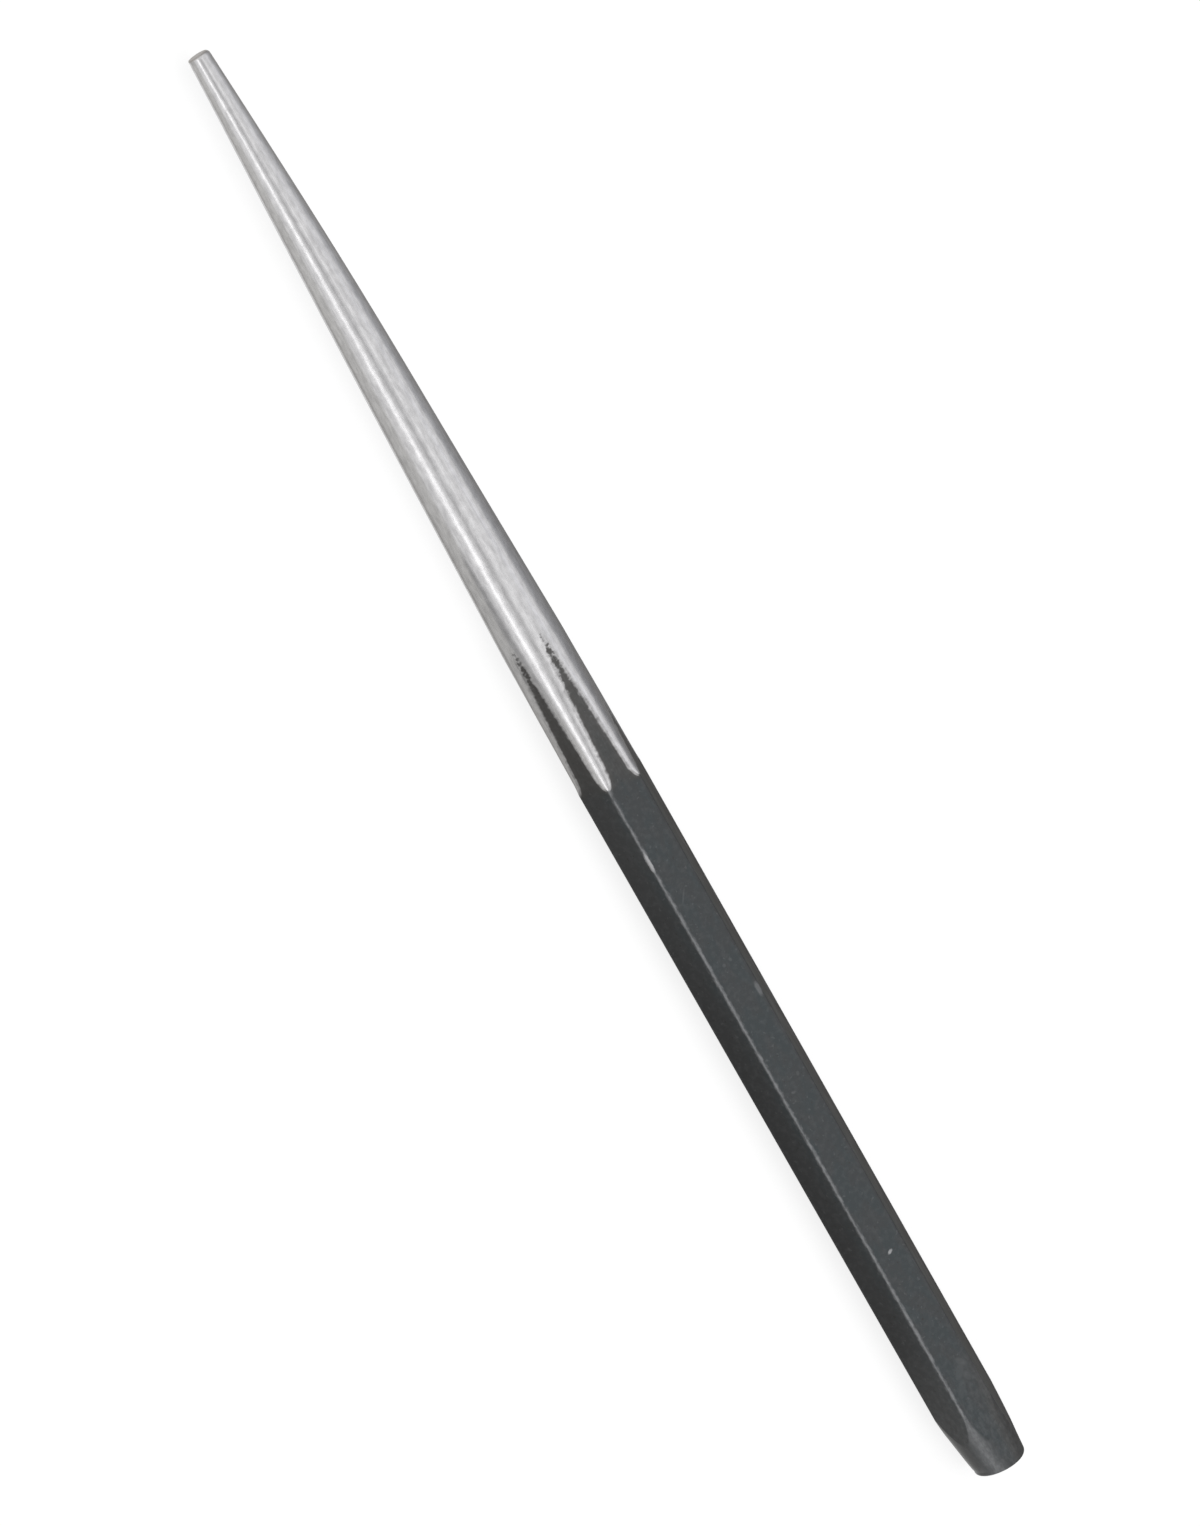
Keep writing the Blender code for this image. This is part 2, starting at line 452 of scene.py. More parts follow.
def taper_radius(shape, along, grind_length):
    """Radius that the grinding leaves at a distance from the tip.

    Three cones run into each other, and the last one flares with the square of the distance over twice the
    flare radius. From the grind length on, a quarter of an ellipse, as long and as high as the wheel's edge,
    is added, and past its end a slope of 45 degrees.
    """
    angles = (shape.nose_angle, shape.body_angle, shape.lead_out_angle)
    nose, body, lead_out = (math.tan(angle) for angle in angles)

    def cones(at):
        radius = shape.tip_diameter / 2 + nose * at
        radius = radius + (body - nose) * ramp(at - shape.nose_end, shape.nose_blend)
        radius = radius + (lead_out - body) * ramp(at - shape.body_end, shape.body_blend)
        return radius + np.maximum(at - shape.body_end, 0.0) ** 2 / (2.0 * shape.flare_radius)

    past = along - grind_length
    share = np.clip(past / shape.wheel_edge_length, 0.0, 1.0)
    leaving = shape.wheel_edge_height * (1.0 - np.sqrt(1.0 - share**2))
    return cones(along) + leaving + np.maximum(past - shape.wheel_edge_length, 0.0)


def ground_radius(shape, along):
    """Ground radius of each row towards each corner. The run-out leans with the sine of its angle."""
    corner = FLAT_TO_CORNER * (1 + 2 * np.arange(FLATS))
    lean = shape.run_out_lean * np.sin(corner)
    return taper_radius(shape, along[:, None], shape.grind_length + lean)


def crown_height(shape, along):
    """How far the middle of a tongue stands over the turned circle in each row.

    It is the tongues' crown times a smooth step up where they begin and a smooth step down past their ends.
    """
    return shape.tongue_crown * rise(along, *CROWN_RISE) * rise(along, *CROWN_FALL)


def head_radius(shape, along):
    """Radius of the struck end's bevel: the face's radius plus the bevel's slope times the way to the rim."""
    rim_plane = shape.overall_length - shape.head_crown
    return shape.head_face_diameter / 2 + math.tan(shape.head_bevel_angle) * (rim_plane - along)


def worn_edge(face_radius, slope, worn, sharp):
    """Rounded edge between an end plane and the cone that widens behind it, one row for each ring.

    On its worn side and on its sharp side it is an arc that touches the plane and the cone, and the sharp
    side follows the cone up to its smaller arc. Returned from the cone to the plane are each row's depth
    behind the plane, its radius on the worn side and how much wider it is on the sharp one, and last the
    radius at which the worn arc meets the plane, and how much wider that is on the sharp side.
    """

    def foot(radius):
        return face_radius + radius * (math.tan(slope) - 1.0 / math.cos(slope))

    turn = np.linspace(slope, math.pi / 2, EDGE_RINGS)
    depth = worn - worn * np.sin(turn)
    on_worn = foot(worn) + worn * np.cos(turn)
    past = np.maximum(sharp - depth, sharp * math.sin(slope))
    on_sharp = foot(sharp) + np.sqrt(np.maximum(sharp**2 - past**2, 0.0))
    on_sharp = np.minimum(face_radius + math.tan(slope) * depth, on_sharp)
    return depth, on_worn, on_sharp - on_worn, foot(worn), foot(sharp) - foot(worn)


def turned_profile(shape):
    """Each row's distance from the tip, turned radius towards each corner, and what its sharp side has more.

    From the tip on, the rows are a flat disc, its worn edge, the smaller of the taper and the bevel, the worn
    rim of the struck end and a crown that falls with the square of the radius.
    """
    edge_radii = (shape.tip_edge_radius, shape.tip_sharp_edge_radius)
    depth, out, wider, foot, foot_wider = worn_edge(shape.tip_diameter / 2, shape.nose_angle, *edge_radii)
    disc = np.sqrt(np.linspace(0.0, 1.0, FACE_RINGS, endpoint=False))
    tip = [(np.zeros(FACE_RINGS), foot * disc, foot_wider * disc), (depth[::-1], out[::-1], wider[::-1])]

    rim_radii = (shape.head_rim_radius, shape.head_sharp_rim_radius)
    depth, out, wider, foot, foot_wider = worn_edge(
        shape.head_face_diameter / 2, shape.head_bevel_angle, *rim_radii
    )
    rim = shape.overall_length - shape.head_crown - depth
    inwards = np.linspace(1.0, 0.0, CROWN_RINGS)[1:]
    crown = shape.overall_length - shape.head_crown * inwards**2
    head = [(rim, out, wider), (crown, foot * inwards, foot_wider * inwards)]

    starts = [start for start, _ in ROW_SPACING]
    ends = [*starts[1:], rim[0] - ROW_SPACING[-1][1] / 2]
    rows = np.concatenate([np.arange(start, end, gap) for (start, gap), end in zip(ROW_SPACING, ends)])
    middle = np.minimum(ground_radius(shape, rows), head_radius(shape, rows)[:, None])
    tip, head = (
        [(along, np.repeat(radius[:, None], FLATS, axis=1), wider) for along, radius, wider in rings]
        for rings in (tip, head)
    )
    parts = (*tip, (rows, middle, np.zeros(len(rows))), *head)
    return tuple(np.concatenate(values) for values in zip(*parts))


def turned_drift(shape, along):
    """How far the middle of the turned surfaces lies off the bar's axis, as (y, z) for each row.

    The tip's drift dies away as a power of e, a bow rises and falls as a bell curve behind the tip, and the
    struck end leans in a straight line from where its lean starts. Square to these, the taper drops smoothly.
    """
    bow = shape.taper_bow * np.exp(-(((along - BOW_MIDDLE) / BOW_SPREAD) ** 2))
    tip = shape.tip_drift * np.exp(-along / TIP_DRIFT_FADE)
    lean = math.tan(shape.head_lean) * np.maximum(along - shape.head_lean_start, 0.0)
    drop = shape.taper_drop * rise(along, *DROP_RISE) * rise(along, *DROP_FALL)
    turn = shape.drift_direction
    aside = np.outer(bow - tip + lean, (math.sin(turn), math.cos(turn)))
    return aside + np.outer(drop, (math.cos(turn), -math.sin(turn)))


def out_of_square(shape, along, section):
    """How far each point moves along the bar to tilt the end faces: a shear that dies away behind them."""
    turn = shape.drift_direction
    aside = section @ np.array([math.sin(turn), math.cos(turn)])
    tip = math.tan(shape.tip_face_tilt) * rise(along, *FACE_SHEAR)
    head = math.tan(shape.struck_face_tilt) * rise(shape.overall_length - along, *FACE_SHEAR)
    return (head - tip)[:, None] * aside


def hexagon_radius(shape, from_flat):
    """Distance from the bar's axis to its surface at an angle from the middle of the nearest flat.

    On the flat it is half the width across flats over the cosine of the angle. Past the point where the
    corner's circle touches the flat, it is the far crossing of the ray with that circle.
    """
    half = shape.across_flats / 2
    rounding = shape.corner_radius
    centre = (half - rounding) / math.cos(FLAT_TO_CORNER)
    from_corner = FLAT_TO_CORNER - from_flat
    beside = centre * np.sin(from_corner)
    on_corner = centre * np.cos(from_corner) + np.sqrt(np.maximum(rounding**2 - beside**2, 0.0))
    return np.where(from_flat > corner_start(shape), on_corner, half / np.cos(from_flat))


def corner_start(shape):
    """Angle from the middle of a flat at which the rounding of its corner begins.

    Its tangent is that of the corner's angle, times the share of half the width that the rounding leaves.
    """
    half = shape.across_flats / 2
    return math.atan((half - shape.corner_radius) * math.tan(FLAT_TO_CORNER) / half)


def ray_to_circle(radius, centre, direction):
    """Distance from the bar's axis along a direction to a circle whose centre is a little off the axis.

    It is how far off the centre lies along the direction, plus the root of the radius squared less the square
    of how far off it lies to the side.
    """
    towards = np.einsum("rk,rck->rc", centre, direction)
    inside = radius**2 - np.sum(centre**2, axis=1)[:, None] + towards**2
    return towards + np.sqrt(np.maximum(inside, 0.0))


def column_angles(shape, radius, drift):
    """Angle from the middle of its flat, and angle round the bar from +Z towards +Y, of every grid point.

    Where the turned circle crosses a flat, the crossing is a crease: half the columns between the middle of a
    flat and its corner spread out to the crease, and the other half from there to the corner. Where there is
    no crossing, the columns stand evenly, and over the last tenth of a millimetre they gather to meet it.
    """
    half = shape.across_flats / 2
    side = np.arange(-COLUMNS_TO_CORNER, COLUMNS_TO_CORNER) / COLUMNS_TO_CORNER
    radius = radius.reshape(len(radius), FLATS, -1)
    flat = np.arange(FLATS) * 2 * FLAT_TO_CORNER
    outwards = drift @ np.array([np.sin(flat), np.cos(flat)])
    sideways = drift @ np.array([np.cos(flat), -np.sin(flat)])
    outwards, sideways = outwards[:, :, None], sideways[:, :, None]
    chord = np.sqrt(np.maximum(radius**2 - (half - outwards) ** 2, 0.0))
    crossing = chord + np.sign(side) * sideways
    crease = np.clip(np.arctan2(crossing, half), LEAST_CREASE, corner_start(shape))
    settled = rise(radius + outwards, half - CREASE_GATHER, half)
    crease = FLAT_TO_CORNER / 2 + (crease - FLAT_TO_CORNER / 2) * settled
    share = 2.0 * np.abs(side)
    past_crease = crease + (share - 1.0) * (FLAT_TO_CORNER - crease)
    from_flat = np.where(share <= 1.0, share * crease, past_crease)
    around = flat[:, None] + np.sign(side) * from_flat
    rows = len(radius)
    return from_flat.reshape(rows, -1), around.reshape(rows, -1)


def punch_surface(shape):
    """Grid of points over the whole punch, with what the finish needs to know at each of them.

    A row's outline is the smaller of the hexagon and the turned circle, seen from the bar's axis. The circle
    stands higher on the tongues, by a parabola from the crease to the corner. Rows that are round all the way
    are circles about their own drifted centre. Returned with the points are, in millimetres, how deep the
    grinding and any turned surface went below the bar's own surface and how far the nearest corner of the bar
    and the middle of the flat are, then how worn that corner is, with a painted highlight on the corner at
    -30 degrees and painted shade on the one at +30 degrees, less and less towards the middle of the struck
    face, and the point's place as if the bar were a plain cylinder. Returned last is which points may be on a
    crease.
    """
    along, turned, wider = turned_profile(shape)
    drift = turned_drift(shape, along)
    column = np.arange(2 * FLATS * COLUMNS_TO_CORNER)
    corner = (column // COLUMNS_TO_CORNER + 1) // 2 - 1
    even = (column / COLUMNS_TO_CORNER - 1.0) * FLAT_TO_CORNER
    sharp_side = rise(np.cos(even - shape.drift_direction), 1.0, -1.0)
    radius = turned[:, corner] + np.outer(wider, sharp_side)
    from_flat, around = column_angles(shape, radius, drift)
    direction = np.stack([np.sin(around), np.cos(around)], axis=-1)

    hexagon = hexagon_radius(shape, from_flat)
    side = np.abs(np.arange(-COLUMNS_TO_CORNER, COLUMNS_TO_CORNER)) / COLUMNS_TO_CORNER
    to_corner = np.tile(np.clip(2.0 * side - 1.0, 0.0, 1.0), FLATS)
    crown = np.outer(crown_height(shape, along), 1.0 - (1.0 - to_corner) ** 2)
    circle = ray_to_circle(radius, drift, direction) + crown
    outline = np.minimum(hexagon, circle)[:, :, None] * direction
    about_drift = drift[:, None, :] + radius[:, :, None] * direction
    half = shape.across_flats / 2
    is_round = turned.max(axis=1) + np.linalg.norm(drift, axis=1) < half - ROUND_MARGIN
    section = np.where(is_round[:, None, None], about_drift, outline)

    square = np.repeat((along - shape.overall_length / 2)[:, None], around.shape[1], axis=1)
    points = np.empty((*around.shape, 3))
    points[:, :, 0] = square + out_of_square(shape, along, section)
    points[:, :, 1] = section[:, :, 0]
    points[:, :, 2] = section[:, :, 1] + half

    ground = ray_to_circle(ground_radius(shape, along)[:, corner], drift, direction) + crown
    beside = (FLAT_TO_CORNER - from_flat) * hexagon
    below = hexagon - np.minimum(hexagon, circle)
    # Each corner's rubbed wear, with the painted highlight at -30 degrees and the painted shade at +30
    # degrees, from nothing at the middle of a flat to full at the corner.
    wear = np.array(CORNER_WEAR_HIGHLIGHT_AND_SHADE)[corner] * rise(from_flat, 0.0, FLAT_TO_CORNER)
    bite = np.repeat(FLAT_BITE, 2 * COLUMNS_TO_CORNER) * rise(from_flat, FLAT_TO_CORNER, 0.0)
    facts = {
        "grind_depth": (hexagon - ground) * MILLIMETRES + bite,
        "turned_depth": (hexagon - circle) * MILLIMETRES,
        "corner_distance": np.hypot(beside, below) * MILLIMETRES,
        "flat_distance": np.tan(from_flat) * half * MILLIMETRES,
        "corner_wear_highlight_and_shade": wear * rise(radius, *CORNER_WEAR_HIGHLIGHT_AND_SHADE_RISE),
        "wrap": np.dstack([square, direction * half]) * MILLIMETRES,
    }
    creased = np.abs(hexagon - circle) < CREASE_MATCH
    return points, facts, creased


def grid_faces(rows, columns):
    """Faces of a tube of grid points closed by a fan at each end, whose middles are the last two points.

    Each quad runs along the bar first and then round it, so that it points outwards.
    """
    ring = np.arange(rows * columns).reshape(rows, columns)
    beside = np.roll(ring, -1, axis=1)
    quads = np.stack([ring[:-1], ring[1:], beside[1:], beside[:-1]], axis=-1).reshape(-1, 4)
    first = np.full(columns, rows * columns)
    tip_fan = np.stack([first, ring[0], beside[0]], axis=-1)
    head_fan = np.stack([first + 1, beside[-1], ring[-1]], axis=-1)
    return [*quads.tolist(), *tip_fan.tolist(), *head_fan.tolist()]


def rings_and_poles(values):
    """The grid without its first and last row, one value a line, then the mean of each of those two rows."""
    ends = np.stack([values[0].mean(axis=0), values[-1].mean(axis=0)])
    return np.concatenate([values[1:-1].reshape(-1, *values.shape[2:]), ends])


def mark_creases(mesh, creased):
    """Make the edges along a crease sharp: those on a crease column between two points of a crease."""
    rows, columns = creased.shape
    ends = np.empty(len(mesh.edges) * 2, dtype=np.int32)
    mesh.edges.foreach_get("vertices", ends)
    row, column = np.divmod(ends.reshape(-1, 2), columns)
    half_way = np.arange(columns) % COLUMNS_TO_CORNER == COLUMNS_TO_CORNER // 2
    on_crease = np.append(creased & half_way, np.zeros((1, columns), dtype=bool), axis=0)
    sharp = (column[:, 0] == column[:, 1]) & on_crease[np.minimum(row, rows), column].all(axis=1)
    mesh.attributes.new("sharp_edge", "BOOLEAN", "EDGE").data.foreach_set("value", sharp)


def new_object(name, data):
    """A new object in the scene."""
    made = bpy.data.objects.new(name, data)
    bpy.context.scene.collection.objects.link(made)
    return made


def build_punch(shape):
    """The punch as one closed mesh, with the attributes that its finish reads."""
    points, facts, creased = punch_surface(shape)
    rows, columns = points.shape[0] - 2, points.shape[1]
    mesh = bpy.data.meshes.new("ground_hexagon_punch")
    mesh.from_pydata(rings_and_poles(points), [], grid_faces(rows, columns))
    mesh.shade_smooth()
    mark_creases(mesh, creased[1:-1])
    for name in ("grind_depth", "turned_depth", "corner_distance", "flat_distance", "corner_wear_highlight_and_shade"):
        fact = mesh.attributes.new(name, "FLOAT", "POINT")
        fact.data.foreach_set("value", rings_and_poles(facts[name]))
    wrap = mesh.attributes.new("wrap", "FLOAT_VECTOR", "POINT")
    wrap.data.foreach_set("vector", rings_and_poles(facts["wrap"]).ravel())
    mesh.update()
    return new_object("ground_hexagon_punch", mesh)


def add_node(tree, kind, inputs=None, **settings):
    """Add a node, give it its settings, and set or join each named input."""
    node = tree.nodes.new(kind)
    for name, value in settings.items():
        setattr(node, name, value)
    for name, value in (inputs or {}).items():
        if isinstance(value, bpy.types.NodeSocket):
            tree.links.new(value, node.inputs[name])
        else:
            node.inputs[name].default_value = value
    return node


def calculate(tree, operation, first, second=0.0, third=0.0):
    """A Math node's result."""
    node = add_node(tree, "ShaderNodeMath", {0: first, 1: second, 2: third}, operation=operation)
    return node.outputs["Value"]


def times(tree, first, second):
    """The first times the second."""
    return calculate(tree, "MULTIPLY", first, second)


def times_plus(tree, first, second, third):
    """The first times the second, plus the third."""
    return calculate(tree, "MULTIPLY_ADD", first, second, third)


def larger(tree, first, second):
    """The larger of two values."""
    return calculate(tree, "MAXIMUM", first, second)


def split(tree, vector):
    """The X, Y and Z of a vector."""
    return add_node(tree, "ShaderNodeSeparateXYZ", {"Vector": vector}).outputs


def step(tree, value, low, high):
    """An S-shaped step from 0 at the low value to 1 at the high one. The low one may be the larger."""
    inputs = {"Value": value, "From Min": low, "From Max": high}
    node = add_node(tree, "ShaderNodeMapRange", inputs, interpolation_type="SMOOTHSTEP")
    return node.outputs["Result"]


def mix_colours(tree, share, first, second):
    """From the first colour to the second by a share."""
    node = add_node(tree, "ShaderNodeMix", {0: share, 6: first, 7: second}, data_type="RGBA")
    return node.outputs[2]


def mix_values(tree, share, first, second):
    """From the first value to the second by a share."""
    node = add_node(tree, "ShaderNodeMix", {0: share, 2: first, 3: second}, data_type="FLOAT")
    return node.outputs[0]


def stretched(tree, vector, scale, offset=(0.0, 0.0, 0.0)):
    """A vector scaled along each axis and moved by an offset."""
    node = add_node(tree, "ShaderNodeMapping", {"Vector": vector, "Scale": scale, "Location": offset})
    return node.outputs["Vector"]


def pattern(tree, vector, name):
    """One of the noise patterns, between 0 and 1 and about 0.5 in the mean."""
    along, across, offset, detail, roughness = PATTERNS[name]
    vector = stretched(tree, vector, (along, across, across), offset)
    inputs = {"Vector": vector, "Scale": 1.0, "Detail": detail, "Roughness": roughness}
    return add_node(tree, "ShaderNodeTexNoise", inputs).outputs["Fac"]


def attribute(tree, name, output="Fac"):
    """One of the mesh's own attributes."""
    return add_node(tree, "ShaderNodeAttribute", attribute_name=name).outputs[output]


def new_material(name):
    """A new material and its node tree."""
    material = bpy.data.materials.new(name)
    material.use_nodes = True
    return material, material.node_tree


def rgba(colour):
    """A colour property as the four numbers of a socket."""
    return (*colour, 1.0)


def ground_steel(tree, finish, place, wrap):
    """Colour, roughness and height of the ground taper.

    Long streaks lie along the taper and fine specks all over it. The end face of the tip is cut, not ground.
    """
    long_streaks = pattern(tree, wrap, "long_streaks")
    rings = pattern(tree, wrap, "rings")
    specks = pattern(tree, place, "specks")
    grain = times_plus(tree, rings, 0.15, times(tree, specks, 0.85))
    dull = step(tree, times_plus(tree, long_streaks, 0.4, grain), *SHOWN["dull_streaks"])
    colour = mix_colours(tree, dull, rgba(finish.steel_colour), rgba(finish.steel_streak_colour))

    from_tip = calculate(tree, "SUBTRACT", split(tree, wrap)["X"], BAR_LOW.x * MILLIMETRES)
    cut = step(tree, from_tip, *CUT_TIP)
    colour = mix_colours(tree, cut, colour, rgba(finish.cut_face_colour))

    gloss = finish.steel_roughness
    roughness = mix_values(tree, long_streaks, gloss - 0.05, gloss + 0.05)
    roughness = mix_values(tree, cut, roughness, 0.55)
    height = times_plus(tree, specks, 0.8, times(tree, rings, 0.3))
    return colour, roughness, height


def mark(tree, place, ragged, x, y, length, width, turn):
    """Share of a mark on the punch's upper side: an ellipse of two half sizes, turned from +X towards +Y."""
    inputs = {
        "Vector": place,
        "Location": (x, y, 0.0),
        "Rotation": (0.0, 0.0, math.radians(turn)),
        "Scale": (length, width, MARK_HEIGHT),
    }
    spot = add_node(tree, "ShaderNodeMapping", inputs, vector_type="TEXTURE").outputs["Vector"]
    away = add_node(tree, "ShaderNodeVectorMath", {0: spot}, operation="LENGTH").outputs["Value"]
    return step(tree, times_plus(tree, ragged, 1.5, away), *SHOWN["mark"])


def black_oxide(tree, finish, place, wrap):
    """Colour, roughness and height of the blackened bar, and how far it is worn through to the steel.

    Blue-green patches cloud the black on the upper side. It turns brown on the far side, towards the struck
    end and next to the grinding, and dark pits are scattered in it. It is rubbed thin along the corners, on
    flecks, in a few marks, in fine lines along the far side, over the bevel from its crease on, and evenly
    over the struck face. The bright corner at -30 degrees and the band it carries onto the bevel are partly a
    painted highlight, and the darkened corner at +30 degrees is painted shade, mixed in with the pits' black.
    """
    clouds, grain, rub, streaks, pits, flecks = (
        pattern(tree, place, name) for name in ("clouds", "grain", "rub", "streaks", "pits", "flecks")
    )
    around = split(tree, wrap)
    spot = split(tree, place)
    from_head = calculate(tree, "SUBTRACT", spot["X"], BAR_HIGH.x * MILLIMETRES)
    struck = step(tree, times_plus(tree, rub, 16.0, from_head), *STRUCK_END)
    at_bevel = step(tree, from_head, *BEVEL)
    near_side = step(tree, around["Y"], *NEAR_SIDE)
    far_side = times_plus(tree, struck, 2.0, times_plus(tree, clouds, 1.6, around["Y"]))
    far_side = step(tree, far_side, *FAR_SIDE)

    tint = mix_values(tree, step(tree, clouds, *SHOWN["tint"]), 0.4, 1.0)
    tint = times(tree, tint, step(tree, around["Z"], *TINTED_SIDE))
    colour = mix_colours(tree, tint, rgba(finish.oxide_colour), rgba(finish.oxide_tint))
    scorch = calculate(tree, "EXPONENT", times(tree, attribute(tree, "grind_depth"), 2.0))
    scorch = calculate(tree, "MINIMUM", times(tree, scorch, 0.85), 0.85)
    brown = larger(tree, times(tree, far_side, 0.62), scorch)
    colour = mix_colours(tree, brown, colour, rgba(finish.oxide_brown))

    # The corners' wear: partly a painted highlight on the corner at -30 degrees, and below zero painted shade
    # on the corner at +30 degrees.
    worn = attribute(tree, "corner_wear_highlight_and_shade")
    edge = times_plus(tree, rub, -1.1, attribute(tree, "corner_distance"))
    edge = times(tree, step(tree, edge, *SHOWN["edge"]), worn)
    # Dark pits, and the painted shade along the corner whose wear is below zero.
    pits_and_painted_shade = larger(tree, step(tree, pits, *SHOWN["pits"]), times(tree, edge, -1.0))
    colour = mix_colours(tree, pits_and_painted_shade, colour, PIT_AND_SHADE_BLACK)

    turned = attribute(tree, "turned_depth")
    past_crease = step(tree, turned, 0.0, mix_values(tree, near_side, 0.38, 0.10))
    # The bevel's wear is carried on from the corners, so it also paints a highlight band where the bright
    # corner at -30 degrees runs out, and it lightens the bevel's near side.
    bevel = larger(tree, worn, times(tree, near_side, 0.15))
    bevel = times(tree, bevel, mix_values(tree, step(tree, rub, *SHOWN["bevel"]), 0.75, 1.30))
    bevel = times(tree, bevel, times(tree, past_crease, at_bevel))
    face = times(tree, step(tree, turned, *STRUCK_FACE), mix_values(tree, rub, 0.5, 1.5))
    lines = times(tree, far_side, step(tree, streaks, *SHOWN["lines"]))
    lines = times(tree, lines, calculate(tree, "SUBTRACT", 1.0, struck))
    kinds = {
        "flecks": step(tree, flecks, *SHOWN["flecks"]),
        "mottle": times(tree, struck, step(tree, rub, *SHOWN["mottle"])),
        "bevel": bevel,
        "face": times(tree, face, at_bevel),
        "lines": lines,
    }
    wear = edge
    for name, value in kinds.items():
        wear = larger(tree, wear, times(tree, value, WEAR_AND_HIGHLIGHT_SHARE[name]))
    through = times(tree, lines, WEAR_AND_HIGHLIGHT_SHARE["lines"])
    upper = step(tree, spot["Z"], *UPPER_SIDE)
    for share, *place_and_size in MARKS:
        value = times(tree, upper, mark(tree, place, grain, *place_and_size))
        wear = larger(tree, wear, times(tree, value, share))
        if share > THROUGH_MARK:
            through = larger(tree, through, times(tree, value, 0.5 * share))
    dust = larger(tree, times_plus(tree, grain, 0.26, -0.121), 0.0)
    wear = calculate(tree, "ADD", wear, dust)
    # Wear lightens the oxide; along the corner at -30 degrees and over the bevel this is partly a painted
    # highlight.
    colour = mix_colours(tree, wear, colour, rgba(finish.oxide_wear_and_highlight_colour))

    gloss = finish.oxide_roughness
    roughness = mix_values(tree, grain, gloss - 0.08, gloss + 0.08)
    roughness = mix_values(tree, edge, roughness, times_plus(tree, rub, -0.5, 0.62))
    return colour, roughness, grain, through


def bare_steel(tree, wrap):
    """Share of ground steel against black oxide, from the depth of the grinding in millimetres.

    The edge between the two is broken by blots and by brushing along the bar. Ahead of a dart, where the
    wheel only grazed the middle of the flat, a few blots of oxide are left. Just outside the edge the oxide
    is thinned, by a share that falls off as a power of e with the depth that is missing.
    """
    blots = pattern(tree, wrap, "blots")
    brushed = pattern(tree, wrap, "brushed")
    ground = attribute(tree, "grind_depth")
    aside = attribute(tree, "flat_distance")
    depth = times_plus(tree, blots, -0.12, ground)
    depth = times_plus(tree, brushed, 0.06, depth)
    depth = times_plus(tree, step(tree, aside, *MIDDLE_OF_FLAT), 0.03, depth)
    bare = step(tree, depth, *BARE_DEPTH)
    reach = times_plus(tree, ground, -10.0, times(tree, blots, 2.0))
    reach = times_plus(tree, calculate(tree, "POWER", aside, 2.0), -0.6, reach)
    grazed = step(tree, reach, *SHOWN["grazed"])
    bare = times(tree, bare, times_plus(tree, grazed, -0.92, 1.0))
    thin = calculate(tree, "EXPONENT", times(tree, depth, 6.0))
    thin = times(tree, times(tree, thin, brushed), 0.14)
    return larger(tree, bare, calculate(tree, "MINIMUM", thin, 0.2))


def punch_material(finish):
    """One surface: steel where the grinding went below the bar's own skin, black oxide elsewhere."""
    material, tree = new_material("blackened_and_ground_steel")
    shader = tree.nodes["Principled BSDF"]
    shader.inputs["Specular IOR Level"].default_value = 0.68
    place = add_node(tree, "ShaderNodeTexCoord").outputs["Object"]
    place = stretched(tree, place, (MILLIMETRES, MILLIMETRES, MILLIMETRES))
    wrap = attribute(tree, "wrap", "Vector")

    steel_colour, steel_roughness, steel_height = ground_steel(tree, finish, place, wrap)
    oxide_colour, oxide_roughness, oxide_height, through = black_oxide(tree, finish, place, wrap)
    bare = larger(tree, bare_steel(tree, wrap), through)
    height = mix_values(tree, bare, oxide_height, steel_height)
    bump = add_node(tree, "ShaderNodeBump", {"Strength": 0.050, "Distance": 0.0001, "Height": height})
    tree.links.new(mix_colours(tree, bare, oxide_colour, steel_colour), shader.inputs["Base Color"])
    tree.links.new(mix_values(tree, bare, oxide_roughness, steel_roughness), shader.inputs["Roughness"])
    tree.links.new(bare, shader.inputs["Metallic"])
    tree.links.new(bump.outputs["Normal"], shader.inputs["Normal"])
    return material


def from_axis(turn, distance):
    """Point beside the middle of the bar's axis, at an angle from +Z towards +Y and a distance."""
    lift = (BAR_LOW.z + BAR_HIGH.z) / 2
    return Vector((0.0, distance * math.sin(turn), lift + distance * math.cos(turn)))


def strip_lamp(name, turn, distance, middle, size, brightness):
    """A rectangular lamp that faces the bar's axis. Its power is its radiance times pi and its area."""
    lamp = bpy.data.lights.new(name, "AREA")
    lamp.shape = "RECTANGLE"
    lamp.size, lamp.size_y = size
    lamp.energy = brightness * math.pi * size[0] * size[1]
    holder = new_object(name, lamp)
    holder.location = from_axis(turn, distance) + Vector((middle, 0.0, 0.0))
    holder.rotation_euler = (-turn, 0.0, 0.0)
    return holder


def flat_panel(name, corner, first_side, second_side):
    """A rectangle from a corner along two sides, as a grid of two by two points."""
    steps = np.array([0.0, 1.0])
    one, other = np.meshgrid(steps, steps, indexing="ij")
    points = np.array(corner) + one[..., None] * np.array(first_side)
    points = points + other[..., None] * np.array(second_side)
    mesh = bpy.data.meshes.new(name)
    mesh.from_pydata(points.reshape(-1, 3), [], [(0, 2, 3, 1)])
    panel = new_object(name, mesh)
    return panel


